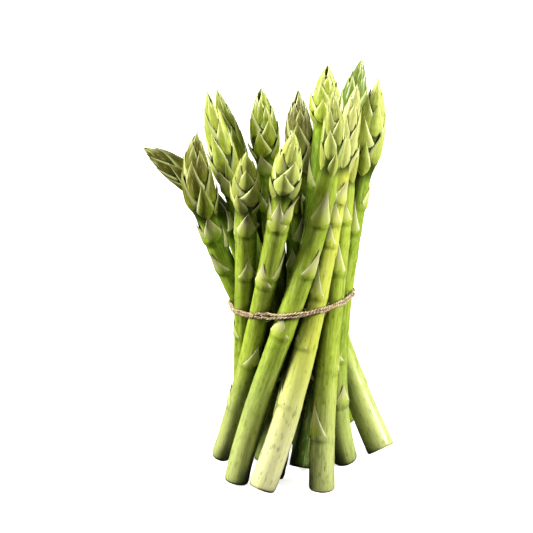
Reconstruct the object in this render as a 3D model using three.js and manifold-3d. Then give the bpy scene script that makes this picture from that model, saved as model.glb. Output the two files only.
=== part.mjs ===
// A tied bundle of green asparagus, standing on its cut ends.
// Millimetres, +Z up. The floor is z = 0, and -Y is the front of the bundle.
import * as THREE from 'three';
import Module from 'manifold-3d';
import { mergeVertices } from 'three/addons/utils/BufferGeometryUtils.js';

const wasm = await Module();
wasm.setup();

// The places below are measured from a point near the tie. The bundle is then moved, so that
// its origin is on the floor under the middle of its box.
const middleX = -10.3;
const middleY = 3;

// Stems
const stemSides = 10;
const ringStep = 24;

// Heads: a slim core that the scale leaves stand out of
const coreShare = 0.72;
const widestAt = 0.3;
const budCount = 16;
const goldenAngle = 137.5;

// Pressed scale leaves on the stem below the head
const scaleLength = 15;
const scaleStand = 0.95;
const scaleSink = 0.9;

// Twine: two turns, one above the other, with a knot at the back
const twineRadius = 0.65;
const turnGap = 1.45;
const stemClearance = 1;
const tieHeight = 89.8;
const tieRiseX = 0.1;
const tieRiseY = -0.1;
const knotAngle = 82;
const twineSteps = 48;
const twineSides = 5;

// Each spear's centre line goes through four places: the cut end, two places a third and
// two thirds of the way up, and the tip. radii are those of the cut end, the neck and the head.
// leaves are the stem's scale leaves: millimetres up from the cut end, degrees round from the
// front towards the right, and length where it isn't the usual one.
const spears = [
  {
    foot: [-14, 38], lower: [-21.5, 24], upper: [-26.3, 14.3], tip: [-73.5, 2, 168.5],
    radii: [5.6, 4.8, 7.7], head: 42, turn: 40,
    leaves: [[50, 0], [66, -110], [110, 170], [124, 95, 18], [126, 40, 13], [138, -60, 12]],
  },
  {
    foot: [-13, 16], lower: [-16.4, 10.5], upper: [-38, -4], tip: [-45.6, -16.3, 181.5],
    radii: [5.6, 5.2, 8.9], head: 51, turn: 100,
    leaves: [[58, -60], [111, -40, 14], [100, 150], [123, 100], [129, -68, 15], [131, 10, 16]],
  },
  {
    foot: [-14, -4], lower: [-9, -0.5], upper: [-24.5, -1], tip: [-41.3, 1, 197],
    radii: [5.6, 5, 7.5], head: 55, turn: 10,
    leaves: [[45, -30], [80, 160], [118, -110], [135, 110], [148, -20]],
  },
  {
    foot: [30, 46], lower: [7, 31], upper: [-18, 20], tip: [-37.5, 20, 193.5],
    radii: [5.9, 5.2, 7], head: 50, turn: 200,
    leaves: [[40, 150], [75, 20], [112, 160], [132, -60], [148, 60]],
  },
  {
    foot: [-26, 23], lower: [-24.5, -1], upper: [-23, -20], tip: [-22.3, -36, 177],
    radii: [4.6, 5.2, 8.2], head: 36, turn: 60,
    leaves: [[40, 90], [77, -80, 11], [100, 170], [115, 20, 14], [137, -130], [141, 5, 16]],
  },
  {
    foot: [-36.5, 2], lower: [-21, -14], upper: [-9.5, -28], tip: [0, -44, 189],
    radii: [5, 5.4, 7.9], head: 40, turn: 150,
    leaves: [
      [35, -100], [63, 25], [111, -35], [116, 74, 17],
      [138, 170], [144, -10, 18], [150, -95, 15], [149, 60, 16],
    ],
  },
  {
    foot: [47, 4.5], lower: [21.9, 22.6], upper: [8.1, 24.1], tip: [2.8, 23, 191.5],
    radii: [7.3, 5.1, 8.8], head: 46, turn: 250,
    leaves: [[36, 160, 12], [72, 170], [112, -150], [126, 80], [140, -60]],
  },
  {
    foot: [-9.5, -21], lower: [3, -9], upper: [11.5, 2], tip: [17, 8, 208],
    radii: [5.8, 4.7, 8.2], head: 33, turn: 300,
    leaves: [[30, -60], [62, 120], [118, -150], [135, 60], [150, -70]],
  },
  {
    foot: [-28, -26], lower: [-9, -25], upper: [11.5, -27], tip: [18.5, -28, 205],
    radii: [6.2, 5.1, 6.3], head: 44, turn: 20,
    leaves: [[42, 150], [83, -30, 14], [117, 45, 17], [131, -120], [144, 5, 20], [156, 140, 12]],
  },
  {
    foot: [-15, -36.5], lower: [5.5, -25], upper: [19, -16.5], tip: [30.5, -12, 203.5],
    radii: [6.9, 4.5, 6.3], head: 46, turn: 80,
    leaves: [
      [45, -90, 12], [76, -55, 6], [102, -30, 17], [129, -10, 11],
      [124, 150], [140, 0, 11], [150, 30, 12],
    ],
  },
  {
    foot: [4.5, -13], lower: [15, 8], upper: [23.5, 21], tip: [35, 35.4, 205],
    radii: [5.8, 5, 8], head: 46, turn: 170,
    leaves: [[45, -60], [115, 60], [132, 170], [146, -100], [157, 30, 11]],
  },
  {
    foot: [28, -2.5], lower: [23.2, -3], upper: [31.8, 7], tip: [41.9, 14.6, 200.5],
    radii: [6.3, 4.3, 8.8], head: 54, turn: 220,
    leaves: [[34, 35, 12], [58, -25, 10], [110, 150], [124, -20, 18], [137, 80]],
  },
  {
    foot: [15.2, -31], lower: [17.5, -17.5], upper: [23.5, -5.5], tip: [28.6, 0.3, 187],
    radii: [6.5, 4.8, 5.8], head: 40, turn: 130, levelCut: true,
    leaves: [[26, -45, 19], [60, 120], [110, -10, 20], [124, 160], [136, 5, 10]],
  },
  {
    foot: [6, 36], lower: [-3.5, 18.5], upper: [-10.3, 7.5], tip: [-15.6, 7, 197],
    radii: [5.8, 5.1, 8.2], head: 40, turn: 280,
    leaves: [[45, 100], [75, -100], [122, 150], [138, -60], [150, 90], [158, -15, 11]],
  },
  {
    foot: [6, 16], lower: [2.2, 8.6], upper: [1.9, 7.4], tip: [-3, 10, 163],
    radii: [5.2, 4.6, 5], head: 36, turn: 330,
    leaves: [[40, 60], [75, -160], [104, -20, 12], [118, 40, 13]],
  },
];

const stemPaint = { color: 0x93b13c, roughness: 0.42, metalness: 0 };
const twinePaint = { color: 0xa88c68, roughness: 0.9, metalness: 0 };

const lerp = THREE.MathUtils.lerp;
const radians = THREE.MathUtils.degToRad;

// Solids from closed geometries, and back

function weld(geometry) {
  geometry.deleteAttribute('normal');
  geometry.deleteAttribute('uv');
  const merged = mergeVertices(geometry);
  const corners = merged.index.array;
  const kept = [];
  for (let i = 0; i < corners.length; i += 3) {
    const [a, b, c] = corners.slice(i, i + 3);
    if (a !== b && b !== c && c !== a) kept.push(a, b, c);
  }
  merged.setIndex(kept);
  return merged;
}

function toSolid(geometry) {
  return new wasm.Manifold(new wasm.Mesh({
    numProp: 3,
    vertProperties: new Float32Array(geometry.attributes.position.array),
    triVerts: new Uint32Array(geometry.index.array),
  }));
}

// Hollows that fusing seals are filled, and loose scraps are dropped
function outerShell(solid) {
  return solid.decompose().sort((a, b) => b.volume() - a.volume())[0];
}

function toMesh(solid, name, paint) {
  const result = outerShell(solid).getMesh();
  const geometry = new THREE.BufferGeometry();
  geometry.setAttribute('position', new THREE.BufferAttribute(result.vertProperties, 3));
  geometry.setIndex(new THREE.BufferAttribute(result.triVerts, 1));
  geometry.computeVertexNormals();
  const mesh = new THREE.Mesh(geometry, new THREE.MeshStandardMaterial(paint));
  mesh.name = name;
  return mesh;
}

// The centre line of a spear

function centreLine(spear, lift) {
  const top = spear.tip[2];
  const heights = [lift, lerp(lift, top, 1 / 3), lerp(lift, top, 2 / 3), top];
  const through = [spear.foot, spear.lower, spear.upper, spear.tip].map(
    (place, i) => new THREE.Vector3(place[0], place[1], heights[i]),
  );
  const handle = (weights) => {
    const sum = new THREE.Vector3();
    through.forEach((place, i) => sum.addScaledVector(place, weights[i] / 6));
    return sum;
  };
  return new THREE.CubicBezierCurve3(
    through[0],
    handle([-5, 18, -9, 2]),
    handle([2, -9, 18, -5]),
    through[3],
  );
}

// A place given as millimetres up the spear, to its right and to its front
function onSpear(curve, along, right, front) {
  const length = curve.getLength();
  const share = THREE.MathUtils.clamp(along / length, 0, 1);
  const tangent = curve.getTangentAt(share);
  const toFront = new THREE.Vector3(0, -1, 0).projectOnPlane(tangent).normalize();
  const toRight = new THREE.Vector3().crossVectors(tangent, toFront);
  const beyond = along - share * length;
  return curve.getPointAt(share)
    .addScaledVector(toRight, right)
    .addScaledVector(toFront, front)
    .addScaledVector(tangent, beyond);
}

// Bends a straight piece, which stands along Y with its front at +Z, on to the spear's centre line
function bend(geometry, curve) {
  const place = geometry.attributes.position;
  for (let i = 0; i < place.count; i += 1) {
    const bent = onSpear(curve, place.getY(i), place.getX(i), place.getZ(i));
    place.setXYZ(i, bent.x, bent.y, bent.z);
  }
  return geometry;
}

// Outline of a spear

function outlineOf(spear, length) {
  const [foot, neck, head] = spear.radii;
  const neckAt = length - spear.head;
  return (along) => {
    if (along <= neckAt) return lerp(foot, neck, along / neckAt);
    const share = Math.min((along - neckAt) / spear.head, 1);
    if (share < widestAt) return lerp(neck, head, THREE.MathUtils.smoothstep(share, 0, widestAt));
    return head * (1 - ((share - widestAt) / (1 - widestAt)) ** 2);
  };
}

function stemSolid(spear, curve, length, outline) {
  const neckAt = length - spear.head;
  const rings = Math.round(neckAt / ringStep);
  const start = spear.levelCut ? -4 : 0;
  const profile = [new THREE.Vector2(0, start), new THREE.Vector2(spear.radii[0], start)];
  for (let i = spear.levelCut ? 0 : 1; i <= rings; i += 1) {
    const along = (neckAt * i) / rings;
    profile.push(new THREE.Vector2(outline(along), along));
  }
  for (const share of [0.3, 0.65]) {
    const along = neckAt + spear.head * share;
    profile.push(new THREE.Vector2(outline(along) * coreShare, along));
  }
  profile.push(new THREE.Vector2(0, neckAt + spear.head * 0.96));
  return toSolid(bend(weld(new THREE.LatheGeometry(profile, stemSides)), curve));
}

// Leaves: a three-sided kite of unit size, its keel outside and its flat side sunk in what it grows from

function kite(widest) {
  const profile = [new THREE.Vector2(0, 0), new THREE.Vector2(1, widest), new THREE.Vector2(0, 1)];
  return weld(new THREE.LatheGeometry(profile, 3));
}

const budShape = kite(0.36);
const scaleShape = kite(0.12);

// rise(share) is the radius that the leaf's mid-line rides at, from its root to its tip
function leafSolid(curve, leaf) {
  const geometry = leaf.shape.clone();
  const place = geometry.attributes.position;
  const cos = Math.cos(radians(leaf.angle));
  const sin = Math.sin(radians(leaf.angle));
  for (let i = 0; i < place.count; i += 1) {
    const share = place.getY(i);
    const side = (place.getX(i) * leaf.width) / 2;
    const depth = place.getZ(i) * (place.getZ(i) > 0 ? leaf.stand : leaf.sink);
    const middle = leaf.rise(share);
    const out = middle + depth - (side * side) / (2 * Math.max(middle, 2.2));
    place.setXYZ(i, sin * out + cos * side, leaf.along + share * leaf.length, cos * out - sin * side);
  }
  return toSolid(bend(geometry, curve));
}

// Scale leaves in a spiral up the head, the last few closing over the tip
function headSolids(spear, curve, length, outline) {
  const neckAt = length - spear.head;
  const solids = [];
  for (let i = 0; i < budCount; i += 1) {
    const up = i / (budCount - 1);
    const leafLength = spear.head * lerp(0.36, 0.25, up);
    const along = neckAt + spear.head * lerp(-0.06, 0.76, up ** 0.92);
    const widest = outline(along + leafLength * 0.32);
    const stand = lerp(1.7, 1.1, up);
    solids.push(leafSolid(curve, {
      shape: budShape,
      along,
      angle: spear.turn + i * goldenAngle,
      length: leafLength,
      width: widest * 1.05 + 1.6,
      stand,
      sink: stand + 0.6,
      rise: (share) => {
        const body = outline(along + share * leafLength);
        const root = body * coreShare - 0.8;
        const ridge = Math.max(body - stand, 0.3) + 0.75 * stand * share ** 3;
        return lerp(root, ridge, THREE.MathUtils.smoothstep(share, -0.1, 0.35));
      },
    }));
  }
  return solids;
}

function scaleSolid(curve, outline, leaf) {
  const [along, angle, length = scaleLength] = leaf;
  return leafSolid(curve, {
    shape: scaleShape,
    along,
    angle,
    length,
    width: outline(along) * 1.9,
    stand: scaleStand,
    sink: scaleSink,
    rise: (share) => outline(along + share * length) - 0.1 + 0.35 * Math.max(share, 0) ** 2,
  });
}

// Below the floor, for the cut end that is level
function floorSolid() {
  const block = new THREE.BoxGeometry(200, 200, 20);
  block.translate(0, 0, -10);
  return toSolid(weld(block));
}

// The cut end is square to its stem, and the lowest point of its rim touches the floor
function footLift(spear) {
  if (spear.levelCut) return 0;
  const curve = centreLine(spear, 0);
  const heights = [];
  for (let i = 0; i < stemSides; i += 1) {
    const angle = (i / stemSides) * 2 * Math.PI;
    const reach = spear.radii[0];
    heights.push(onSpear(curve, 0, reach * Math.sin(angle), reach * Math.cos(angle)).z);
  }
  return -Math.min(...heights);
}

function spearMesh(spear, number) {
  const { curve, outline } = spear;
  const length = curve.getLength();
  const solids = [
    stemSolid(spear, curve, length, outline),
    ...spear.leaves.map((leaf) => scaleSolid(curve, outline, leaf)),
    ...headSolids(spear, curve, length, outline),
  ];
  let whole = solids.reduce((sum, solid) => sum.add(solid));
  if (spear.levelCut) whole = whole.subtract(floorSolid());
  return toMesh(whole, `spear_${String(number).padStart(2, '0')}`, stemPaint);
}

for (const spear of spears) {
  spear.curve = centreLine(spear, footLift(spear));
  spear.outline = outlineOf(spear, spear.curve.getLength());
}

// Twine

const tiePlane = (x, y) => tieHeight + tieRiseX * x + tieRiseY * y;

// Where a line up a spear's side crosses the plane of the tie, or one a little above or below it
function atTie(spear, angle, level) {
  let along = tieHeight;
  let place;
  for (let i = 0; i < 4; i += 1) {
    const out = spear.outline(along) + stemClearance + twineRadius;
    place = onSpear(spear.curve, along, out * Math.sin(angle), out * Math.cos(angle));
    along += tiePlane(place.x, place.y) + level - place.z;
  }
  return place;
}

// The twine is pulled tight, so its route is the convex outline round all the stems
function tieOutline() {
  const places = [];
  for (const spear of spears) {
    for (let angle = 0; angle < 360; angle += 10) {
      places.push(atTie(spear, radians(angle), -turnGap / 2), atTie(spear, radians(angle), turnGap));
    }
  }
  places.sort((a, b) => a.x - b.x || a.y - b.y);
  const turnsLeft = (a, b, c) => (b.x - a.x) * (c.y - a.y) - (b.y - a.y) * (c.x - a.x) > 0;
  const half = (list) => {
    const chain = [];
    for (const place of list) {
      while (chain.length > 1 && !turnsLeft(chain.at(-2), chain.at(-1), place)) chain.pop();
      chain.push(place);
    }
    return chain.slice(0, -1);
  };
  return [...half(places), ...half(places.reverse())];
}

// The place on a closed outline at an angle about its middle, in degrees from +X towards +Y
function onOutline(outline, middle, angle) {
  const heading = new THREE.Vector2(Math.cos(radians(angle)), Math.sin(radians(angle)));
  for (let i = 0; i < outline.length; i += 1) {
    const a = outline[i];
    const b = outline[(i + 1) % outline.length];
    const fromA = new THREE.Vector2(a.x - middle.x, a.y - middle.y);
    const edge = new THREE.Vector2(b.x - a.x, b.y - a.y);
    const share = -heading.cross(fromA) / heading.cross(edge);
    const hit = fromA.addScaledVector(edge, share);
    if (share >= 0 && share < 1 && hit.dot(heading) > 0) {
      return new THREE.Vector3(hit.x + middle.x, hit.y + middle.y, 0);
    }
  }
  throw new Error('the tie has an open outline');
}

function twineTube(places, steps) {
  const section = new THREE.Shape(Array.from({ length: twineSides }, (_, i) => new THREE.Vector2(
    twineRadius * Math.cos((i / twineSides) * 2 * Math.PI),
    twineRadius * Math.sin((i / twineSides) * 2 * Math.PI),
  )));
  const path = new THREE.CatmullRomCurve3(places);
  return toSolid(weld(new THREE.ExtrudeGeometry(section, { steps, extrudePath: path })));
}

const bump = (angle, middle, spread) => Math.exp(-(((angle - middle) / spread) ** 2));

// The two turns lie one above the other, looser at the front left and apart at the right
function turnPlaces(outline, middle, side) {
  const places = [];
  for (let angle = knotAngle; angle >= knotAngle - 360; angle -= 9) {
    const apart = 1 + 0.6 * bump(angle, -112, 14) + 1.1 * bump(angle, 8, 26);
    const place = onOutline(outline, middle, angle);
    const level = side > 0 ? apart : Math.min(apart, 1.2);
    place.z = tiePlane(place.x, place.y) + (side * turnGap * level) / 2;
    places.push(place);
  }
  return places;
}

function twineMesh() {
  const outline = tieOutline();
  const middle = new THREE.Vector3();
  outline.forEach((place) => middle.addScaledVector(place, 1 / outline.length));
  const turns = [1, -1].map((side) => twineTube(turnPlaces(outline, middle, side), twineSteps));

  const knotPlace = onOutline(outline, middle, knotAngle);
  knotPlace.z = tiePlane(knotPlace.x, knotPlace.y);
  const out = knotPlace.clone().sub(middle).setZ(0).normalize();
  const across = new THREE.Vector3(-out.y, out.x, 0);
  const atKnot = (right, forth, up) => knotPlace.clone()
    .addScaledVector(across, right)
    .addScaledVector(out, forth)
    .add(new THREE.Vector3(0, 0, up));
  const lobe = new THREE.SphereGeometry(1, 6, 4);
  lobe.scale(2.1, 1.6, 2.1);
  lobe.rotateZ(Math.atan2(out.y, out.x) + Math.PI / 2);
  lobe.translate(...atKnot(0, 0.5, 0).toArray());
  const tails = [-1, 1].map((side) => twineTube([
    atKnot(side * 0.4, 0.8, 0),
    atKnot(side * 2.6, 2.2, -0.4),
    atKnot(side * 5.4, 3.4, -3.2 + side * 0.8),
    atKnot(side * 7.2, 4.2, -8 + side * 1.6),
    atKnot(side * 7.6, 4, -12.5 + side * 1.6),
  ], 7));
  const whole = [...turns, toSolid(weld(lobe)), ...tails].reduce((sum, solid) => sum.add(solid));
  return toMesh(whole, 'twine', twinePaint);
}

const bundle = new THREE.Group();
spears.forEach((spear, i) => bundle.add(spearMesh(spear, i + 1)));
bundle.add(twineMesh());
bundle.position.set(-middleX, -middleY, 0);

export default bundle;
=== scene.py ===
import math
import random

import bmesh
import bpy
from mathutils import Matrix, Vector, noise
from mathutils.geometry import convex_hull_2d, interpolate_bezier, intersect_line_line_2d


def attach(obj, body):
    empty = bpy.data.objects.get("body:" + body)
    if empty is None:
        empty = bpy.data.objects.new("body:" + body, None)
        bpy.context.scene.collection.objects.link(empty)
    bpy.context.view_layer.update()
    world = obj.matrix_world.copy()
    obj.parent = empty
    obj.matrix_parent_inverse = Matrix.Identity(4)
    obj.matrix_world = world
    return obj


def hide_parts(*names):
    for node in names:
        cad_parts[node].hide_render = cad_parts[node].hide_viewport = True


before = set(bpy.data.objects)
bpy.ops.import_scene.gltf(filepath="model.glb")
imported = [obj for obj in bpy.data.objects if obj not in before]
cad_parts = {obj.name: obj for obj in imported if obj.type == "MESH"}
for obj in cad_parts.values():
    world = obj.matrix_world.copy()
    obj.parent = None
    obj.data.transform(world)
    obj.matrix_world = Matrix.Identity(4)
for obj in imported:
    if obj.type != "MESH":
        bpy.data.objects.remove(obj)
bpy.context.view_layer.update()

mm = 0.001


def lerp(a, b, share):
    return a + (b - a) * share


def smooth(x, low, high):
    share = min(max((x - low) / (high - low), 0.0), 1.0)
    return share * share * (3 - 2 * share)


def falloff(distance, width):
    # 1 at no distance, and a smooth slope to nearly nothing at twice the width
    return math.exp(-((distance / width) ** 2))


view = {
    "target": (-2.45, -3, 107),  # mm
    "distance": 900,  # mm
    "elevation": 20,  # degrees above the table
    "lens": 121.6,  # mm
    "sensor": 36,  # mm
}


def makeCamera():
    lift = math.radians(view["elevation"])
    back = Vector((0, -math.cos(lift), math.sin(lift)))
    cameraData = bpy.data.cameras.new("camera")
    cameraData.lens = view["lens"]
    cameraData.sensor_width = view["sensor"]
    cameraData.clip_start = 0.01
    camera = bpy.data.objects.new("camera", cameraData)
    camera.location = (Vector(view["target"]) + back * view["distance"]) * mm
    camera.rotation_mode = "QUATERNION"
    camera.rotation_quaternion = (-back).to_track_quat("-Z", "Y")
    bpy.context.scene.collection.objects.link(camera)
    bpy.context.scene.camera = camera


# name: place in metres from the middle of the bundle, size, watts, colour
softboxes = {
    "leftSoftbox": ((-0.93, -0.14, 0.5), 0.35, 24, (1.0, 0.98, 0.9)),
    "rightSoftbox": ((0.92, -0.2, 0.45), 0.35, 20.5, (1.0, 0.98, 0.92)),
    "frontSoftbox": ((-0.1, -0.75, 0.85), 0.5, 3.2, (1.0, 0.99, 0.92)),
    "backSoftbox": ((0.1, 0.8, 0.7), 0.6, 3, (1.0, 0.99, 0.92)),
}
bundleMiddle = Vector((0, 0, 0.1))
roomGlow = 0.02  # the little light that comes evenly from all sides


def makeLights():
    for name, (place, size, watts, colour) in softboxes.items():
        lampData = bpy.data.lights.new(name, "AREA")
        lampData.size = size
        lampData.energy = watts
        lampData.color = colour
        lamp = bpy.data.objects.new(name, lampData)
        lamp.location = bundleMiddle + Vector(place)
        lamp.rotation_mode = "QUATERNION"
        lamp.rotation_quaternion = (-Vector(place)).to_track_quat("-Z", "Y")
        bpy.context.scene.collection.objects.link(lamp)
    world = bpy.data.worlds.new("paleRoom")
    world.use_nodes = True
    world.node_tree.nodes["Background"].inputs["Color"].default_value = (1, 1, 1, 1)
    world.node_tree.nodes["Background"].inputs["Strength"].default_value = roomGlow
    bpy.context.scene.world = world
    bpy.context.scene.view_settings.view_transform = "Standard"


def linear(code):
    # sRGB hex to the linear colour that shader sockets take
    channels = [int(code[i:i + 2], 16) / 255 for i in (0, 2, 4)]
    return [c / 12.92 if c <= 0.04045 else ((c + 0.055) / 1.055) ** 2.4 for c in channels] + [1.0]


def addNode(tree, kind, inputs, **settings):
    # one node with its settings; each input is a value or the socket of another node
    node = tree.nodes.new(kind)
    for key, value in settings.items():
        setattr(node, key, value)
    for key, value in inputs.items():
        if isinstance(value, bpy.types.NodeSocket):
            tree.links.new(value, node.inputs[key])
        else:
            node.inputs[key].default_value = value
    return node


def newMaterial(name, surface):
    material = bpy.data.materials.new(name)
    material.use_nodes = True
    tree = material.node_tree
    shader = tree.nodes["Principled BSDF"]
    for key, value in surface.items():
        shader.inputs[key].default_value = value
    return material, tree, shader


def paint(tree, body, coats):
    # coats laid one over another: what each follows, where it starts, where it is full, how much, colour.
    # A mix node takes colours on its inputs 6 and 7, and gives one on its output 2.
    for source, start, full, amount, code in coats:
        mask = addNode(tree, "ShaderNodeMapRange", {
            "Value": source, "From Min": start, "From Max": full, "To Max": amount,
        }, interpolation_type="SMOOTHSTEP")
        mixed = {0: mask.outputs["Result"], 6: body, 7: linear(code)}
        body = addNode(tree, "ShaderNodeMix", mixed, data_type="RGBA").outputs[2]
    return body


def dress(tree, shader, body, relief):
    # relief: what it follows, its height in mm and its strength
    tree.links.new(body, shader.inputs["Base Color"])
    source, height, strength = relief
    bump = addNode(tree, "ShaderNodeBump", {"Height": source, "Distance": height * mm, "Strength": strength})
    tree.links.new(bump.outputs["Normal"], shader.inputs["Normal"])


def skinSockets(tree, patterns, reach):
    # what the spears' vertices carry; noise, each pattern given as mm across, mm along and detail,
    # laid on the straight spear; and how open each place is to what lies within reach mm of it, for painted
    # shade
    found = {}
    for name, parts in (("mood", ("pale", "blush", "up")), ("leaf", ("margin", "share", "outer"))):
        stored = addNode(tree, "ShaderNodeAttribute", {}, attribute_name=name)
        split = addNode(tree, "ShaderNodeSeparateXYZ", {"Vector": stored.outputs["Vector"]})
        found.update(zip(parts, split.outputs))
    found["tint"] = addNode(tree, "ShaderNodeAttribute", {}, attribute_name="tint").outputs["Fac"]
    straight = addNode(tree, "ShaderNodeAttribute", {}, attribute_name="straight").outputs["Vector"]
    for name, (across, along, detail) in patterns.items():
        stretch = {"Vector": straight, "Scale": (1 / across, 1 / across, 1 / along)}
        place = addNode(tree, "ShaderNodeMapping", stretch).outputs["Vector"]
        grain = {"Vector": place, "Scale": 1.0, "Detail": detail, "Roughness": 0.6}
        found[name] = addNode(tree, "ShaderNodeTexNoise", grain).outputs["Fac"]
    hidden = addNode(tree, "ShaderNodeAmbientOcclusion", {"Distance": reach * mm}, samples=6)
    found["open"] = hidden.outputs["AO"]
    found["straight"] = straight
    return found


# a thin wax over juicy skin: a soft broad shine, hardly any depth
waxySkin = {
    "Roughness": 0.5, "IOR": 1.42, "Specular IOR Level": 0.3, "Coat Weight": 0.4, "Coat Roughness": 0.25,
    "Subsurface Weight": 0.06, "Subsurface Radius": (0.0012, 0.0014, 0.0003), "Subsurface Scale": 1.0,
}


def stemSkin():
    # waxed green skin: cloudy greens some 8 mm wide, mottling 1.6 mm wide, fine lengthwise fibres, and
    # 1 mm brown specks on the browner spears. Pale spears whiten towards the cut end.
    # Real fibres are about 0.2 mm apart; they are drawn 0.8 mm wide so that they show.
    material, tree, shader = newMaterial("asparagusStemSkin", waxySkin)
    skin = skinSockets(tree, {
        "clouds": (8, 34, 2), "mottle": (1.6, 5, 3), "fibres": (0.8, 30, 4), "specks": (1.0, 2.0, 3),
    }, 22)
    whitening = {0: skin["pale"], 1: 0.9, 2: -0.1}
    foot = addNode(tree, "ShaderNodeMath", whitening, operation="MULTIPLY_ADD").outputs[0]
    body = paint(tree, linear("648c06"), [
        (skin["clouds"], 0.35, 0.68, 1.0, "90b020"),
        (skin["pale"], 0.15, 1.0, 1.0, "c8d052"),
        (skin["pale"], 0.0, -1.0, 0.9, "42660a"),
        (skin["up"], 0.4, 0.04, foot, "e6e2b8"),
        (skin["mottle"], 0.5, 0.72, 0.5, "c8d270"),
        (skin["mottle"], 0.48, 0.26, 0.6, "4c6c02"),
        (skin["fibres"], 0.5, 0.75, 0.45, "dce08c"),
        (skin["fibres"], 0.45, 0.25, 0.45, "456806"),
        (skin["specks"], 0.6, 0.8, skin["blush"], "a58a62"),
        # painted shade: darker green just under each leaf's shoulder, on the leaf's side
        (skin["share"], 0.0, 1.0, 0.45, "587314"),
        # painted shade: the core inside the head, seen only in the gaps between the buds, is made dark green
        (skin["margin"], 0.0, 1.0, 1.0, "3f520a"),
        # painted shade: near black where other stems are near, in the gaps between them
        (skin["open"], 0.75, 0.2, 0.97, "0f1702"),
    ])
    rough = {0: skin["mottle"], 1: 0.6, 2: skin["fibres"]}
    height = addNode(tree, "ShaderNodeMath", rough, operation="MULTIPLY_ADD").outputs[0]
    dress(tree, shader, body, (height, 0.35, 0.5))
    return material


def scaleLeaf():
    # papery scale leaf: green at its root, greyish tan above, a thin cream edge and a dry tip, and
    # hardly any wax. Real veins are finer; they are drawn 0.45 mm wide so that they show.
    material, tree, shader = newMaterial("asparagusScaleLeaf", {**waxySkin, "Coat Weight": 0.04})
    skin = skinSockets(tree, {"clouds": (4, 9, 2), "fibres": (0.45, 8, 3)}, 8)
    body = paint(tree, linear("93ae24"), [
        (skin["pale"], 0.0, 1.0, 1.0, "c8d058"),
        (skin["share"], 0.1, 0.6, 0.72, "cfd094"),
        (skin["share"], 0.4, 0.95, 0.5, "b4a48a"),
        (skin["share"], 0.4, 0.9, skin["blush"], "9c8c70"),
        (skin["clouds"], 0.45, 0.7, 0.35, "c9cc94"),
        (skin["fibres"], 0.5, 0.78, 0.4, "dedcb4"),
        (skin["fibres"], 0.46, 0.25, 0.35, "77883c"),
        (skin["margin"], 0.62, 0.95, 0.6, "e2e0b4"),
        (skin["share"], 0.84, 1.0, 0.6, "8d7a54"),
        # painted shade: darkened where the stem and other leaves are near
        (skin["open"], 0.5, 0.1, 0.85, "1c2606"),
    ])
    dress(tree, shader, body, (skin["fibres"], 0.3, 0.45))
    return material


def budLeaf():
    # fleshy bud scale of the head: saturated green middle, thin bright edge, brown on the browner spears,
    # and painted shade at its tucked-in root, on its side that faces the stem and where other buds are near.
    # Real veins are finer; they are drawn 0.6 mm wide so that they show.
    material, tree, shader = newMaterial("asparagusBudLeaf", waxySkin)
    skin = skinSockets(tree, {"clouds": (3, 5, 2), "fibres": (0.6, 7, 3)}, 7)
    browning = {0: skin["blush"], 1: skin["tint"]}
    brown = addNode(tree, "ShaderNodeMath", browning, operation="MULTIPLY").outputs[0]
    body = paint(tree, linear("86a20a"), [
        (skin["clouds"], 0.35, 0.65, 1.0, "b4c42c"),
        (skin["pale"], 0.0, 1.0, 1.0, "dfe48c"),
        (skin["tint"], 0.5, 1.0, 0.35, "bcbf2c"),
        (skin["pale"], 0.0, -1.0, 0.95, "4a6606"),
        (skin["share"], 0.0, 0.5, brown, "5f5a20"),
        (skin["up"], 0.72, 0.95, skin["blush"], "57501c"),
        (skin["fibres"], 0.5, 0.75, 0.4, "d8e08c"),
        (skin["fibres"], 0.46, 0.25, 0.55, "547008"),
        (skin["margin"], 0.6, 0.95, 0.75, "dde4a0"),
        (skin["share"], 0.6, 0.96, 0.4, "cdd27a"),
        # painted shade: each bud darkened at its root, where it is tucked in under the buds below
        (skin["share"], 0.14, 0.0, 0.85, "26360a"),
        # painted shade: near black on the buds' sides that face the stem
        (skin["outer"], 0.6, 0.1, 0.95, "182204"),
        # painted shade: darkened where other buds and stems are near
        (skin["open"], 0.66, 0.16, 0.94, "141c03"),
    ])
    dress(tree, shader, body, (skin["fibres"], 0.3, 0.4))
    return material


strandGap = 0.9  # mm between the strands that end in a cut


def cutFlesh():
    # freshly cut end: pale juicy flesh dotted with strand ends, in a greener rind
    material, tree, shader = newMaterial("asparagusCutFlesh", {**waxySkin, "Subsurface Weight": 0.2})
    skin = skinSockets(tree, {"clouds": (3, 3, 2)}, 5)
    cells = addNode(tree, "ShaderNodeTexVoronoi", {"Vector": skin["straight"], "Scale": 1 / strandGap})
    dots = cells.outputs["Distance"]
    body = paint(tree, linear("dfe3ae"), [
        (dots, 0.28, 0.16, 0.7, "b0bc6a"),
        (skin["clouds"], 0.4, 0.7, 0.4, "cdd08e"),
        (skin["margin"], 0.8, 0.97, 1.0, "a4b846"),
    ])
    dress(tree, shader, body, (dots, 0.3, 0.5))
    return material


# dry bast fibre: no gloss, a faint fuzz at the edges
juteSurface = {
    "Roughness": 0.85, "IOR": 1.45, "Specular IOR Level": 0.25, "Sheen Weight": 0.3, "Sheen Roughness": 0.5,
}
clumpSize = 2.4  # mm
fibreSize = 0.4


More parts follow.
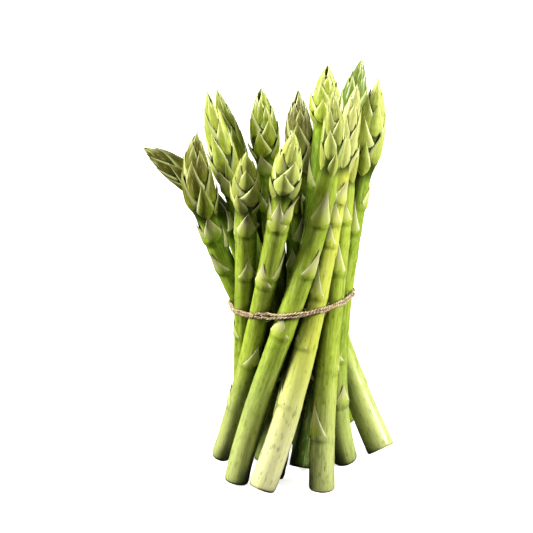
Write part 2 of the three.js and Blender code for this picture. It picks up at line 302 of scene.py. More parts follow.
def juteYarn():
    # spun jute: dull tan fibre in clumps, pale loose strands, and painted shade in the lay of the twist,
    # where the plies face the twine's middle. Single fibres are under 0.1 mm; they are drawn 0.4 mm wide so
    # that they show.
    material, tree, shader = newMaterial("juteTwine", juteSurface)
    place = addNode(tree, "ShaderNodeTexCoord", {}).outputs["Object"]
    textures = [
        addNode(tree, "ShaderNodeTexNoise", {"Vector": place, "Scale": 1 / (size * mm), "Detail": 3.0})
        for size in (clumpSize, fibreSize)
    ]
    clumps, fine = [texture.outputs["Fac"] for texture in textures]
    stored = addNode(tree, "ShaderNodeAttribute", {}, attribute_name="leaf").outputs["Vector"]
    twistShade = addNode(tree, "ShaderNodeSeparateXYZ", {"Vector": stored}).outputs["X"]
    body = paint(tree, linear("9a764e"), [
        (clumps, 0.36, 0.6, 1.0, "d8c39c"),
        (fine, 0.48, 0.68, 0.65, "f4e8ce"),
        # painted shade: darker brown on the plies' sides that face the twine's middle, in the lay of the
        # twist
        (twistShade, 0.72, 0.2, 0.9, "624022"),
    ])
    dress(tree, shader, body, (fine, 0.3, 0.8))
    return material


tableHalf = 3  # metres, half the table's width
cloudSize = 0.15  # metres


def tableTop():
    # pale matt table board, lit softly from beneath, with the faintest cloudiness
    material, tree, shader = newMaterial("paleTable", {
        "Roughness": 0.7, "Specular IOR Level": 0.2, "Emission Strength": 0.85})
    place = addNode(tree, "ShaderNodeTexCoord", {}).outputs["Object"]
    texture = addNode(tree, "ShaderNodeTexNoise", {"Vector": place, "Scale": 1 / cloudSize, "Detail": 2.0})
    clouds = texture.outputs["Fac"]
    body = paint(tree, linear("f6f6f4"), [(clouds, 0.2, 0.8, 1.0, "fbfbfa")])
    tree.links.new(body, shader.inputs["Emission Color"])
    dress(tree, shader, body, (clouds, 0.1, 0.1))
    return material


origin = {"x": -10.3, "y": 3}  # mm; the spears' places below are measured from a point by the tie
lineSteps = 400  # pieces that a spear's centre line is measured in
widestAt = 0.3  # share of the head's length
goldenAngle = 137.5
scaleLength = 15  # mm, a stem's pressed leaf where its own length isn't given

# Places in mm. The centre line goes through four: the cut end, two a third and two thirds of the way
# up, and the tip. radii: cut end, neck, head. leaves: mm up, degrees round from the front, and length.
# pale: -1 dark green, 0 green, 1 yellowish; blush: brown tint; slender: long narrow buds in the head
spears = [
    {"foot": (-14, 38), "lower": (-21.5, 24), "upper": (-26.3, 14.3), "tip": (-73.5, 2, 168.5),
     "radii": (5.6, 4.8, 7.7), "head": 42, "turn": 40, "pale": -0.1, "blush": 0.9, "slender": 1.0,
     "leaves": ((50, 0), (66, -110), (110, 170), (124, 95, 18), (126, 40, 13), (138, -60, 12))},
    {"foot": (-13, 16), "lower": (-16.4, 10.5), "upper": (-38, -4), "tip": (-45.6, -16.3, 181.5),
     "radii": (5.6, 5.2, 8.9), "head": 51, "turn": 100, "pale": 0.05, "blush": 0.8, "slender": 0.8,
     "leaves": ((58, -60), (111, -40, 14), (100, 150), (123, 100), (129, -68, 15), (131, 10, 16))},
    {"foot": (-14, -4), "lower": (-9, -0.5), "upper": (-24.5, -1), "tip": (-41.3, 1, 197),
     "radii": (5.6, 5, 7.5), "head": 55, "turn": 10, "pale": 0.3, "blush": 0.15, "slender": 0.4,
     "leaves": ((45, -30), (80, 160), (118, -110), (135, 110), (148, -20))},
    {"foot": (30, 46), "lower": (7, 31), "upper": (-18, 20), "tip": (-37.5, 20, 193.5),
     "radii": (5.9, 5.2, 7), "head": 50, "turn": 200, "pale": 0.0, "blush": 0.5, "slender": 0.8,
     "leaves": ((40, 150), (75, 20), (112, 160), (132, -60), (148, 60))},
    {"foot": (-26, 23), "lower": (-24.5, -1), "upper": (-23, -20), "tip": (-22.3, -36, 177),
     "radii": (4.6, 5.2, 8.2), "head": 36, "turn": 60, "pale": 0.45, "blush": 0.25, "slender": 0.0,
     "leaves": ((40, 90), (77, -80, 11), (100, 170), (115, 20, 14), (137, -130), (141, 5, 16))},
    {"foot": (-36.5, 2), "lower": (-21, -14), "upper": (-9.5, -28), "tip": (0, -44, 189),
     "radii": (5, 5.4, 7.9), "head": 40, "turn": 150, "pale": 0.5, "blush": 0.1, "slender": 0.0,
     "leaves": ((35, -100), (63, 25), (111, -35), (116, 74, 17),
                (138, 170), (144, -10, 18), (150, -95, 15), (149, 60, 16))},
    {"foot": (47, 4.5), "lower": (21.9, 22.6), "upper": (8.1, 24.1), "tip": (2.8, 23, 191.5),
     "radii": (7.3, 5.1, 8.8), "head": 46, "turn": 250, "pale": 0.5, "blush": 0.9, "slender": 0.7,
     "leaves": ((36, 160, 12), (72, 170), (112, -150), (126, 80), (140, -60))},
    {"foot": (-9.5, -21), "lower": (3, -9), "upper": (11.5, 2), "tip": (17, 8, 208),
     "radii": (5.8, 4.7, 8.2), "head": 33, "turn": 300, "pale": 0.25, "blush": 0.15, "slender": 0.3,
     "leaves": ((30, -60), (62, 120), (118, -150), (135, 60), (150, -70))},
    {"foot": (-28, -26), "lower": (-9, -25), "upper": (11.5, -27), "tip": (18.5, -28, 205),
     "radii": (6.2, 5.1, 6.3), "head": 44, "turn": 20, "pale": 0.45, "blush": 0.3, "slender": 0.2,
     "leaves": ((42, 150), (83, -30, 14), (117, 45, 17), (131, -120), (144, 5, 20), (156, 140, 12))},
    {"foot": (-15, -36.5), "lower": (5.5, -25), "upper": (19, -16.5), "tip": (30.5, -12, 203.5),
     "radii": (6.9, 4.5, 6.3), "head": 46, "turn": 80, "pale": 1.0, "blush": 0.25, "slender": 0.3,
     "leaves": ((45, -90, 12), (76, -55, 6), (102, -30, 17), (129, -10, 11),
                (124, 150), (140, 0, 11), (150, 30, 12))},
    {"foot": (4.5, -13), "lower": (15, 8), "upper": (23.5, 21), "tip": (35, 35.4, 205),
     "radii": (5.8, 5, 8), "head": 46, "turn": 170, "pale": -0.8, "blush": 0.0, "slender": 0.4,
     "leaves": ((45, -60), (115, 60), (132, 170), (146, -100), (157, 30, 11))},
    {"foot": (28, -2.5), "lower": (23.2, -3), "upper": (31.8, 7), "tip": (41.9, 14.6, 200.5),
     "radii": (6.3, 4.3, 8.8), "head": 54, "turn": 220, "pale": 0.4, "blush": 0.05, "slender": 0.1,
     "leaves": ((34, 35, 12), (58, -25, 10), (110, 150), (124, -20, 18), (137, 80))},
    {"foot": (15.2, -31), "lower": (17.5, -17.5), "upper": (23.5, -5.5), "tip": (28.6, 0.3, 187),
     "radii": (6.5, 4.8, 5.8), "head": 40, "turn": 130, "pale": 0.5, "blush": 0.15, "slender": 0.2,
     "levelCut": True,
     "leaves": ((26, -45, 19), (60, 120), (110, -10, 20), (124, 160), (136, 5, 10))},
    {"foot": (6, 36), "lower": (-3.5, 18.5), "upper": (-10.3, 7.5), "tip": (-15.6, 7, 197),
     "radii": (5.8, 5.1, 8.2), "head": 40, "turn": 280, "pale": -0.1, "blush": 0.4, "slender": 0.3,
     "leaves": ((45, 100), (75, -100), (122, 150), (138, -60), (150, 90), (158, -15, 11))},
    {"foot": (6, 16), "lower": (2.2, 8.6), "upper": (1.9, 7.4), "tip": (-3, 10, 163),
     "radii": (5.2, 4.6, 5), "head": 36, "turn": 330, "pale": -0.2, "blush": 0.4, "slender": 0.4,
     "leaves": ((40, 60), (75, -160), (104, -20, 12), (118, 40, 13))},
]


class SpearLine:
    # the centre line of one spear, with its right and front side at every millimetre
    def __init__(self, spear, lift):
        top = spear["tip"][2]
        heights = [lift, lerp(lift, top, 1 / 3), lerp(lift, top, 2 / 3), top]
        places = [spear["foot"], spear["lower"], spear["upper"], spear["tip"]]
        a, b, c, d = [Vector((p[0] - origin["x"], p[1] - origin["y"], z)) for p, z in zip(places, heights)]
        first = (-5 * a + 18 * b - 9 * c + 2 * d) / 6
        second = (2 * a - 9 * b + 18 * c - 5 * d) / 6
        points = interpolate_bezier(a, first, second, d, lineSteps + 1)
        arcs = [0.0]
        for here, there in zip(points, points[1:]):
            arcs.append(arcs[-1] + (there - here).length)
        self.length = arcs[-1]
        self.stations = []
        k = 0
        for i in range(int(self.length) + 2):
            along = min(float(i), self.length)
            while arcs[k + 1] < along:
                k += 1
            share = (along - arcs[k]) / (arcs[k + 1] - arcs[k])
            place = points[k].lerp(points[k + 1], share)
            before, after = max(k - 2, 0), min(k + 3, lineSteps)
            tangent = (points[after] - points[before]).normalized()
            front = Vector((0, -1, 0))
            front = (front - tangent * front.dot(tangent)).normalized()
            self.stations.append((along, place, tangent, tangent.cross(front), front))

    def bent(self, straight):
        # straight: x right, y back, z up the spear
        i = min(max(int(straight.z), 0), len(self.stations) - 2)
        low, high = self.stations[i], self.stations[i + 1]
        span = high[0] - low[0]
        share = (straight.z - low[0]) / span if span > 0 else 0
        inside = min(max(share, 0.0), 1.0)
        place = low[1].lerp(high[1], inside)
        right = low[3].lerp(high[3], inside)
        front = low[4].lerp(high[4], inside)
        extra = (share - inside) * span
        return place + right * straight.x - front * straight.y + low[2] * extra


footSides = 10


def footLift(spear):
    # how far a square cut end goes up for the lowest point of its rim to touch the table
    if spear.get("levelCut"):
        return 0.0
    line = SpearLine(spear, 0.0)
    reach = spear["radii"][0]
    turns = [math.radians(i * 360 / footSides) for i in range(footSides)]
    return -min(line.bent(Vector((reach * math.sin(a), -reach * math.cos(a), 0))).z for a in turns)


def outlineOf(spear):
    # the spear's radius at each millimetre up it
    foot, neck, head = spear["radii"]
    neckAt = spear["neckAt"]

    def outline(along):
        if along <= neckAt:
            return lerp(foot, neck, along / neckAt)
        share = min((along - neckAt) / spear["head"], 1.0)
        if share < widestAt:
            return lerp(neck, head, smooth(share, 0, widestAt))
        return head * (1 - ((share - widestAt) / (1 - widestAt)) ** 2)
    return outline


def addTube(bm, around, rings):
    # a closed cylinder cut into rings; gives back each vertex with its turn and its share up
    known = len(bm.verts)
    knownEdges = len(bm.edges)
    bmesh.ops.create_cone(bm, cap_ends=True, cap_tris=False, segments=around, radius1=1, radius2=1, depth=1)
    bm.edges.ensure_lookup_table()
    uprights = [e for e in bm.edges[knownEdges:] if abs(e.verts[0].co.z - e.verts[1].co.z) > 0.5]
    bmesh.ops.subdivide_edges(bm, edges=uprights, cuts=rings)
    bm.verts.ensure_lookup_table()
    return [(v, math.atan2(v.co.x, -v.co.y), v.co.z + 0.5) for v in bm.verts[known:]]


# mm, and degrees round the stem. At each pressed leaf there is a shoulder on the leaf's side, which ends
# short below it and runs out above, a low joint all round, and painted shade just under the shoulder.
# Ribs and dents make the stem uneven. Inside the head it slims to a core that the buds cover.
stemDetail = {
    "around": 44, "rings": 150,
    "coreShare": 0.8, "coreTop": 0.84, "slimFrom": -1, "slimTo": 8, "levelCutFrom": -4,
    "leafReach": 16, "leafSpread": 75,
    "shoulder": 0.55, "shoulderBelow": 1.0, "shoulderAbove": 6.0,
    "joint": 0.12, "jointRun": 1.6,
    "shadeBelow": 1.6, "shadeRun": 1.1,
    "rib": 0.03, "ribs": 9, "ribTwist": 0.01,
    "dent": 0.24, "dentsPerMm": 0.05,
    "rim": 0.35, "rimHeight": 1.2,
}


def angleApart(angle, other):
    # degrees from one to the other, the short way round
    return (angle - other + 180) % 360 - 180


def makeStem(bm, spear, note):
    outline, neckAt = spear["outline"], spear["neckAt"]
    start = stemDetail["levelCutFrom"] if spear.get("levelCut") else 0
    end = neckAt + spear["head"] * stemDetail["coreTop"]
    seed = spear["turn"]
    for vert, angle, share in addTube(bm, stemDetail["around"], stemDetail["rings"]):
        along = lerp(start, end, share)
        inHead = smooth(along, neckAt + stemDetail["slimFrom"], neckAt + stemDetail["slimTo"])
        radius = outline(max(along, 0)) * lerp(1, stemDetail["coreShare"], inHead)
        shade = 0.0
        for place, facing, *_ in spear["leaves"]:
            rise = along - place
            if abs(rise) > stemDetail["leafReach"]:
                continue
            near = falloff(angleApart(math.degrees(angle), facing), stemDetail["leafSpread"])
            run = stemDetail["shoulderBelow"] if rise < 0 else stemDetail["shoulderAbove"]
            radius += stemDetail["shoulder"] * near * falloff(rise, run)
            radius += stemDetail["joint"] * falloff(rise, stemDetail["jointRun"])
            # painted shade: a darker band just under the shoulder, on the leaf's side
            shade = max(shade, near * falloff(rise + stemDetail["shadeBelow"], stemDetail["shadeRun"]))
        ribTurn = angle * stemDetail["ribs"] + seed + along * stemDetail["ribTwist"]
        radius += stemDetail["rib"] * math.sin(ribTurn)
        dentPlace = Vector((math.sin(angle), math.cos(angle), along * stemDetail["dentsPerMm"] + seed))
        radius += stemDetail["dent"] * noise.noise(dentPlace)
        if start == 0 and along < stemDetail["rimHeight"]:
            radius -= stemDetail["rim"] * (1 - along / stemDetail["rimHeight"]) ** 2
        straight = Vector((math.sin(angle) * radius, -math.cos(angle) * radius, along))
        note(vert, straight, (inHead, shade, 1.0))


# a leaf's plan. widest: where, as a share of its length; blunt: how its root rounds; point: how its tip
# narrows; keel: how far its middle ridge stands up
budForm = {"widest": 0.32, "blunt": 0.6, "point": 1.05, "keel": 0.15}
scaleForm = {"widest": 0.12, "blunt": 0.5, "point": 1.4, "keel": 0.06}


def leafWidth(form, share):
    if share < form["widest"]:
        return math.sin(math.pi / 2 * (share / form["widest"])) ** form["blunt"]
    return (1 - (share - form["widest"]) / (1 - form["widest"])) ** form["point"]


leastWidth = 0.02  # share of the leaf's width that its tip keeps
leastBend = 2.2  # mm, the tightest round that a leaf hugs
fullness = 1.1  # above 1, a leaf keeps its whole thickness for a stretch about its widest place
crownCurve = 0.75  # below 1, its outer side is rounder than a ball's
# the side that faces the stem is darkened as painted shade in the bud material
backFrom = -0.05  # how far round its edge the side that faces the stem starts


def makeLeaf(bm, ball, leaf, note):
    # a ball drawn out into a pointed, keeled blade that hugs what it grows from
    known = len(bm.verts)
    bm.from_mesh(ball)
    bm.verts.ensure_lookup_table()
    cos, sin = math.cos(math.radians(leaf["angle"])), math.sin(math.radians(leaf["angle"]))
    form = leaf["form"]
    for vert in bm.verts[known:]:
        share = math.acos(max(-1.0, min(1.0, -vert.co.z))) / math.pi
        atPole = abs(vert.co.x) + abs(vert.co.y) < 1e-4
        turn = math.atan2(-vert.co.y, vert.co.x)
        width = 0.0 if atPole else max(leafWidth(form, share), leastWidth)
        across, depth = math.cos(turn), math.sin(turn)
        side = across * width * leaf["width"] / 2
        full = min(width * fullness, 1)
        crown = leaf["stand"] * full
        middle = leaf["crest"](share) - crown
        if depth > 0:
            ridge = max(0.0, 1 - abs(across) * 2) - 1
            out = depth ** crownCurve * crown + form["keel"] * leaf["stand"] * width * ridge
        else:
            out = depth * leaf["sink"] * full
        out += middle - side * side / (2 * max(middle, leastBend)) + leaf["curl"] * across * across * width
        side += leaf["lean"] * share ** 2
        along = leaf["along"] + share * leaf["length"]
        straight = Vector((sin * out + cos * side, -(cos * out - sin * side), along))
        # outer: 1 on the outer side; the side that faces the stem gets leaf["back"], and the bud material
        # paints shade where it is low
        outer = 1.0 if depth > backFrom else leaf["back"]
        note(vert, straight, (abs(across), share, outer), leaf["tint"])


# Pairs go from the head's low end to its top: roots and lengths as shares of the head, stands in mm.
# slenderLength is the low length where buds are long and narrow; slenderStand and slenderWidth are the
# shares that such buds keep. backShows: between where and where up the head the buds' inner sides come
# out of their painted shade. Spreads are of the random draws.
headDetail = {
    "rings": 18, "around": 24,
    "buds": 16, "tipBuds": 5, "tipBudsUp": (0.62, 0.95), "tipBudsTurn": 70,
    "roots": (-0.06, 0.76), "crowding": 0.92, "highest": 1.012,
    "lengths": (0.4, 0.27), "slenderLength": 0.52, "lengthSpread": (0.95, 1.05),
    "stands": (2.1, 1.3), "slenderStand": 0.8, "turnSpread": 7,
    "widthAt": 0.3, "widthShare": 1.2, "widthAdded": 2.0, "slenderWidth": 0.86, "widthSpread": (0.8, 1.08),
    "tuckedShare": 0.78, "tuckRun": (-0.1, 0.3), "liesAt": 0.92, "tipLift": 0.5, "tipLiftFrom": 2.5,
    "sink": 0.4, "curl": -0.1, "leanSpread": 0.5, "backShows": (0.55, 0.75),
}


def headLeaves(spear, rng):
    # buds in a spiral up the head, then a few more that close its tip
    outline, neckAt, slender = spear["outline"], spear["neckAt"], spear["slender"]
    leaves = []
    for i in range(headDetail["buds"] + headDetail["tipBuds"]):
        inTip = i - headDetail["buds"]
        up = i / (headDetail["buds"] - 1)
        angle = spear["turn"] + i * goldenAngle
        if inTip >= 0:
            up = lerp(*headDetail["tipBudsUp"], inTip / (headDetail["tipBuds"] - 1))
            angle += headDetail["tipBudsTurn"]
        low, high = headDetail["lengths"]
        leafLength = spear["head"] * lerp(lerp(low, headDetail["slenderLength"], slender), high, up)
        leafLength *= rng.uniform(*headDetail["lengthSpread"])
        along = neckAt + spear["head"] * lerp(*headDetail["roots"], up ** headDetail["crowding"])
        leafLength = min(leafLength, neckAt + spear["head"] * headDetail["highest"] - along)
        widest = outline(along + leafLength * headDetail["widthAt"])
        stand = lerp(*headDetail["stands"], up) * lerp(1, headDetail["slenderStand"], slender)

        def crest(share, along=along, leafLength=leafLength):
            # tucked in at the root, and its tip lies over the buds above it
            body = outline(along + share * leafLength)
            over = body * lerp(headDetail["liesAt"], 1, share)
            over += headDetail["tipLift"] * share * share * min(1.0, body / headDetail["tipLiftFrom"])
            return lerp(body * headDetail["tuckedShare"], over, smooth(share, *headDetail["tuckRun"]))

        angle += rng.uniform(-headDetail["turnSpread"], headDetail["turnSpread"])
        width = widest * headDetail["widthShare"] + headDetail["widthAdded"]
        width *= lerp(1, headDetail["slenderWidth"], slender)
        width *= rng.uniform(*headDetail["widthSpread"])
        lean = rng.uniform(-headDetail["leanSpread"], headDetail["leanSpread"])
        leaves.append({
            "form": budForm, "along": along, "angle": angle, "length": leafLength, "width": width,
            "stand": stand, "sink": stand + headDetail["sink"], "crest": crest, "curl": headDetail["curl"],
            "lean": lean, "tint": rng.random(), "back": smooth(up, *headDetail["backShows"]),
        })
    return leaves


# mm and shares. Pairs are for a leaf well down the stem and one next to the head, which is fuller and
# freer. boldFrom and boldTo: between which places below the neck the one becomes the other.
scaleDetail = {
    "boldFrom": 38, "boldTo": 2, "leanSpread": 0.6,
    "lift": (0.5, 0.95), "liftRun": (-0.15, 0.2), "rootLift": 0.25, "rootRun": (0.5, -0.1), "tipLift": 0.35,
    "widthShare": (1.9, 1.85), "stand": (0.65, 1.25), "curl": (0.1, 0.35),
    "budLike": 0.6, "startsBelow": 0.8, "extraLength": 1, "sink": 0.8, "back": 0.5,
}


def stemLeaf(spear, entry, rng):
    along, angle = entry[0], entry[1]
    leafLength = entry[2] if len(entry) > 2 else scaleLength
    outline, neckAt = spear["outline"], spear["neckAt"]
    bold = smooth(along, neckAt - scaleDetail["boldFrom"], neckAt - scaleDetail["boldTo"])

    def crest(share):
        lift = lerp(*scaleDetail["lift"], bold) * smooth(share, *scaleDetail["liftRun"])
        root = scaleDetail["rootLift"] * smooth(share, *scaleDetail["rootRun"])
        return outline(along + share * leafLength) + lift + root + scaleDetail["tipLift"] * share ** 3

    likeBud = bold * scaleDetail["budLike"]
    lean = rng.uniform(-scaleDetail["leanSpread"], scaleDetail["leanSpread"])
    return {
        "form": {key: lerp(scaleForm[key], budForm[key], likeBud) for key in scaleForm},
        "along": along - scaleDetail["startsBelow"], "angle": angle, "crest": crest,
        "length": leafLength + scaleDetail["extraLength"],
        "width": outline(along) * lerp(*scaleDetail["widthShare"], bold),
        "stand": lerp(*scaleDetail["stand"], bold), "sink": scaleDetail["sink"],
        "curl": lerp(*scaleDetail["curl"], bold), "lean": lean, "tint": rng.random(),
        "back": scaleDetail["back"] * bold,
    }


# where each of a spear's materials is in its list
stemSlot, scaleSlot, budSlot, cutSlot = range(4)
patternShift = Vector((31, 17, 53))  # mm from one spear's patterns to the next one's, so that none are alike


def capCut(bm):
    # takes off what is below the table and closes the cut with a face that looks down
    everything = bm.verts[:] + bm.edges[:] + bm.faces[:]
    found = bmesh.ops.bisect_plane(
        bm, geom=everything, plane_co=(0, 0, 0), plane_no=(0, 0, -1), clear_outer=True)["geom_cut"]
    rim = [e for e in found if isinstance(e, bmesh.types.BMEdge)]
    for face in bmesh.ops.contextual_create(bm, geom=rim)["faces"]:
        face.material_index = cutSlot
        face.normal_update()
        if face.normal.z > 0:
            face.normal_flip()


def makeSpear(number, spear, ball, materials):
    rng = random.Random(number)
    line = SpearLine(spear, footLift(spear))
    spear["neckAt"] = line.length - spear["head"]
    spear["outline"] = outlineOf(spear)
    bm = bmesh.new()
    straightLayer, leafLayer, moodLayer = [
        bm.verts.layers.float_vector.new(name) for name in ("straight", "leaf", "mood")]
    tintLayer = bm.verts.layers.float.new("tint")
    shift = patternShift * number

    def note(vert, straight, leafValues, tint=0.5):
        # straight: where the vertex is on the straight spear, mm. The materials read the other values.
        vert[straightLayer] = straight + shift
        vert[leafLayer] = leafValues
        vert[tintLayer] = tint
        vert[moodLayer] = (spear["pale"], spear["blush"], straight.z / line.length)
        vert.co = line.bent(straight) * mm

    makeStem(bm, spear, note)
    parts = [(len(bm.faces), stemSlot)]
    for entry in spear["leaves"]:
        makeLeaf(bm, ball, stemLeaf(spear, entry, rng), note)
    parts.append((len(bm.faces), scaleSlot))
    for leaf in headLeaves(spear, rng):
        makeLeaf(bm, ball, leaf, note)
    parts.append((len(bm.faces), budSlot))
    bm.faces.ensure_lookup_table()
    first = 0
    for last, slot in parts:
        for face in bm.faces[first:last]:
            face.material_index = slot
        first = last
    ends = [f for f in bm.faces if len(f.verts) == stemDetail["around"]]
    for face in ends:
        face.material_index = cutSlot
    bmesh.ops.recalc_face_normals(bm, faces=bm.faces)
    if spear.get("levelCut"):
        capCut(bm)
    for face in bm.faces:
        face.smooth = face.material_index != cutSlot
    name = "spear_%02d" % number
    mesh = bpy.data.meshes.new(name + "_fine")
    bm.to_mesh(mesh)
    bm.free()
    for material in materials:
        mesh.materials.append(material)
    piece = bpy.data.objects.new(name + "_fine", mesh)
    bpy.context.scene.collection.objects.link(piece)
    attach(piece, "root")
    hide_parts(name)
    return piece


# mm, and degrees about the bundle. Two plies wind round the twine's middle, and two turns of the twine lie
# a gap apart. reach: how near the tie a stem's surface counts. partings: how much further apart the turns
# lie, about which angle and how wide; kink: the same for a short waver.
twine = {
    "plyRadius": 0.37, "plyOffset": 0.33, "plySides": 8, "twistPitch": 3.6, "clearance": 0.1,
    "looseness": 0.2, "loosePerMm": 0.6, "uneven": 0.18, "unevenPerStep": 1.7,
    "height": 89.8, "riseX": 0.1, "riseY": -0.1, "reach": 1.4,
    "gap": 1.3, "partings": ((0.6, -112, 14), (1.1, 8, 26)), "lowerParting": 1.2,
    "waver": 0.25, "waverPerStep": 0.19, "kink": (0.5, -122, 10), "kinkPerStep": 0.55,
    "knotAngle": 82, "stepsPerTurn": 420, "smoothings": 6,
    "fibres": 420, "fibreStart": 0.35, "fibreReach": (0.8, 2.4), "fibreRadius": (0.05, 0.1), "fibreSides": 4,
    "fibreBend": 1, "fibreStray": 2.2, "fibreDroop": (-0.8, 0.3),
}
farAway = 200  # mm, past anything that the tie goes round


def twineLevel(x, y):
    return twine["height"] + twine["riseX"] * (x + origin["x"]) + twine["riseY"] * (y + origin["y"])


def swell(angle, amount, middle, width):
    return amount * falloff(angleApart(angle, middle), width)


def tieHull(pieces, offset):
    # the tight line round everything that the tie crosses
    places = []
    for piece in pieces:
        for vert in piece.data.vertices:
            place = vert.co / mm
            if abs(place.z - twineLevel(place.x, place.y) - offset) < twine["reach"]:
                places.append(place.xy)
    return [places[i] for i in convex_hull_2d(places)]


def hullPoint(hull, middle, angle, clear):
    # where the ray from the middle meets the hull, moved out by the yarn's own radius
    ray = Vector((math.cos(angle), math.sin(angle)))
    best = None
    for here, there in zip(hull, hull[1:] + hull[:1]):
        hit = intersect_line_line_2d(middle, middle + ray * farAway, here, there)
        if hit:
            along = (there - here).normalized()
            out = Vector((along.y, -along.x))
            if out.dot(ray) < 0:
                out = -out
            best = hit + out * clear
    return best


def strandPath(pieces, side):
    # one whole turn from the knot round to the knot; side: 1 upper, -1 lower
    hull = tieHull(pieces, side * twine["gap"] / 2)
    middle = sum(hull, Vector((0, 0))) / len(hull)
    clear = twine["plyRadius"] + twine["plyOffset"] + twine["clearance"]
    steps = twine["stepsPerTurn"]
    angles = [twine["knotAngle"] - 360 * i / steps for i in range(steps + 1)]
    flat = [hullPoint(hull, middle, math.radians(angle), clear) for angle in angles[:-1]]
    for _ in range(twine["smoothings"]):
        flat = [(flat[i - 1] + flat[i] * 2 + flat[(i + 1) % steps]) / 4 for i in range(steps)]
    path = []
    for i, (place, angle) in enumerate(zip(flat + flat[:1], angles)):
        apart = sum((swell(angle, *parting) for parting in twine["partings"]), 1)
        if side < 0:
            apart = min(apart, twine["lowerParting"])
        swing = twine["waver"] * math.sin(i * twine["waverPerStep"] + side)
        swing += swell(angle, *twine["kink"]) * math.sin(i * twine["kinkPerStep"] + side * 1.5)
        lift = side * twine["gap"] / 2 * apart + swing
        path.append(Vector((place.x, place.y, twineLevel(place.x, place.y) + lift)))
    return path


def ropePoints(path, phase):
    # places of one ply wound round the path, one for each of the path's own
    places = []
    walked = 0.0
    for i, place in enumerate(path):
        before, after = path[max(i - 1, 0)], path[min(i + 1, len(path) - 1)]
        if i:
            walked += (place - path[i - 1]).length
        tangent = (after - before).normalized()
        side = tangent.cross(Vector((0, 0, 1)))
        side = side.normalized() if side.length > 1e-4 else Vector((1, 0, 0))
        up = side.cross(tangent)
        turn = math.tau * walked / twine["twistPitch"] + phase
        offset = twine["plyOffset"] * (1 + twine["looseness"] * noise.noise(place * twine["loosePerMm"]))
        places.append(place + (side * math.cos(turn) + up * math.sin(turn)) * offset)
    return places


def layTube(bm, leafLayer, places, radius, around, twineMiddle=None):
    # a closed tube through the places, a ring at each; how far each side faces away from the twine's middle
    # is noted, for the painted shade on the side that faces it
    made = addTube(bm, around, len(places) - 2)
    frames = []
    for i, place in enumerate(places):
        tangent = (places[min(i + 1, len(places) - 1)] - places[max(i - 1, 0)]).normalized()
        side = tangent.cross(Vector((0.02, 0.01, 1))).normalized()
        frames.append((place, side, side.cross(tangent)))
    for vert, angle, share in made:
        i = round(share * (len(places) - 1))
        place, side, up = frames[i]
        thick = radius * (1 + twine["uneven"] * math.sin(i * twine["unevenPerStep"] + angle * 2))
        out = (side * math.cos(angle) + up * math.sin(angle)) * thick
        vert.co = (place + out) * mm
        lit = 1.0
        if twineMiddle:
            away = places[i] - twineMiddle[i]
            lit = 0.5 + 0.5 * out.normalized().dot(away.normalized()) if away.length > 0.01 else 0.5
        vert[leafLayer] = (lit, share, 1.0)


def tailPaths(knot, outward, across):
    # the two cut ends, which come out of the knot to either side and hang. Spots in mm from the knot:
    # across, outward, up
    tails = []
    for side in (-1, 1):
        spots = [(0.2 * side, 0.6, 0), (2.6 * side, 2.0, -0.4), (5.4 * side, 3.2, -3.2 + 0.8 * side),
                 (7.2 * side, 4.0, -8 + 1.6 * side), (7.6 * side, 3.8, -12.5 + 1.6 * side)]
        corners = [knot + across * a + outward * b + Vector((0, 0, c)) for a, b, c in spots]
        tail = interpolate_bezier(corners[0], corners[1], corners[2], (corners[2] + corners[3]) / 2, 14)
        tail += interpolate_bezier(tail[-1], corners[3], corners[3], corners[4], 14)[1:]
        tails.append(tail)
    return tails


# mm. Loops of the twine across one another, each a little more than once round
knotShape = {"loops": 3, "turn": 60, "steps": 24, "overlap": 3, "out": 0.6, "depth": 1.1, "halfWidth": 1.5}


def knotPaths(knot, outward, across):
    loops = []
    for loop in range(knotShape["loops"]):
        turn = math.radians(knotShape["turn"] * loop)
        wide = across * math.cos(turn) + Vector((0, 0, 1)) * math.sin(turn)
        ring = []
        for i in range(knotShape["steps"] + knotShape["overlap"]):
            a = math.tau * i / knotShape["steps"]
            out = knotShape["out"] + knotShape["depth"] * math.sin(a)
            ring.append(knot + outward * out + wide * knotShape["halfWidth"] * math.cos(a))
        loops.append(ring)
    return loops


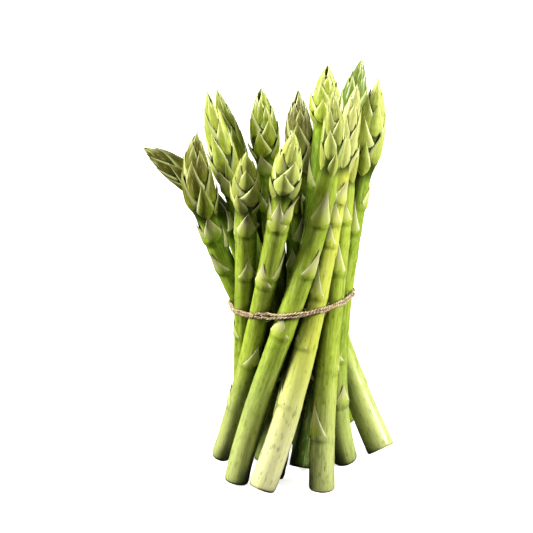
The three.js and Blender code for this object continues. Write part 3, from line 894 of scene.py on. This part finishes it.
def makeTwine(pieces):
    rng = random.Random(7)
    bm = bmesh.new()
    leafLayer = bm.verts.layers.float_vector.new("leaf")
    turns = [strandPath(pieces, 1), strandPath(pieces, -1)]
    knot = (turns[0][0] + turns[1][0]) / 2
    knotTurn = math.radians(twine["knotAngle"])
    outward = Vector((math.cos(knotTurn), math.sin(knotTurn), 0))
    across = outward.cross(Vector((0, 0, 1)))
    hairy = turns + tailPaths(knot, outward, across)
    for path in hairy + knotPaths(knot, outward, across):
        for phase in (0, math.pi):
            layTube(bm, leafLayer, ropePoints(path, phase), twine["plyRadius"], twine["plySides"], path)
    for _ in range(twine["fibres"]):
        path = rng.choice(hairy)
        i = rng.randrange(1, len(path) - 1)
        tangent = (path[i + 1] - path[i - 1]).normalized()
        away = Vector((rng.gauss(0, 1), rng.gauss(0, 1), rng.gauss(0, 1)))
        away = (away - tangent * away.dot(tangent)).normalized()
        reach = rng.uniform(*twine["fibreReach"])
        start = path[i] + away * twine["fibreStart"]
        bend = start + away * reach * 0.5
        bend += tangent * rng.uniform(-twine["fibreBend"], twine["fibreBend"])
        end = start + away * reach
        end += tangent * rng.uniform(-twine["fibreStray"], twine["fibreStray"])
        end += Vector((0, 0, rng.uniform(*twine["fibreDroop"])))
        hair = interpolate_bezier(start, bend, bend, end, 6)
        layTube(bm, leafLayer, hair, rng.uniform(*twine["fibreRadius"]), twine["fibreSides"])
    bmesh.ops.recalc_face_normals(bm, faces=bm.faces)
    for face in bm.faces:
        face.smooth = True
    mesh = bpy.data.meshes.new("twine_fine")
    bm.to_mesh(mesh)
    bm.free()
    mesh.materials.append(juteYarn())
    piece = bpy.data.objects.new("twine_fine", mesh)
    bpy.context.scene.collection.objects.link(piece)
    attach(piece, "root")
    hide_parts("twine")


def makeTable():
    floorMesh = bpy.data.meshes.new("table")
    bm = bmesh.new()
    bmesh.ops.create_grid(bm, x_segments=1, y_segments=1, size=tableHalf)
    bm.to_mesh(floorMesh)
    bm.free()
    floorMesh.materials.append(tableTop())
    floor = bpy.data.objects.new("table", floorMesh)
    bpy.context.scene.collection.objects.link(floor)
    floor.visible_diffuse = False  # the glowing table is kept from filling the gaps between the stems
    floor.visible_glossy = False


def makeBall():
    # what every leaf is drawn from
    mesh = bpy.data.meshes.new("leafBall")
    bm = bmesh.new()
    bmesh.ops.create_uvsphere(bm, u_segments=headDetail["around"], v_segments=headDetail["rings"], radius=1)
    bm.to_mesh(mesh)
    bm.free()
    return mesh


print("camera, lights and table")
makeCamera()
makeLights()
makeTable()

print("spears")
ball = makeBall()
spearMaterials = [stemSkin(), scaleLeaf(), budLeaf(), cutFlesh()]
pieces = [makeSpear(number, spear, ball, spearMaterials) for number, spear in enumerate(spears, 1)]
bpy.data.meshes.remove(ball)

print("twine")
makeTwine(pieces)
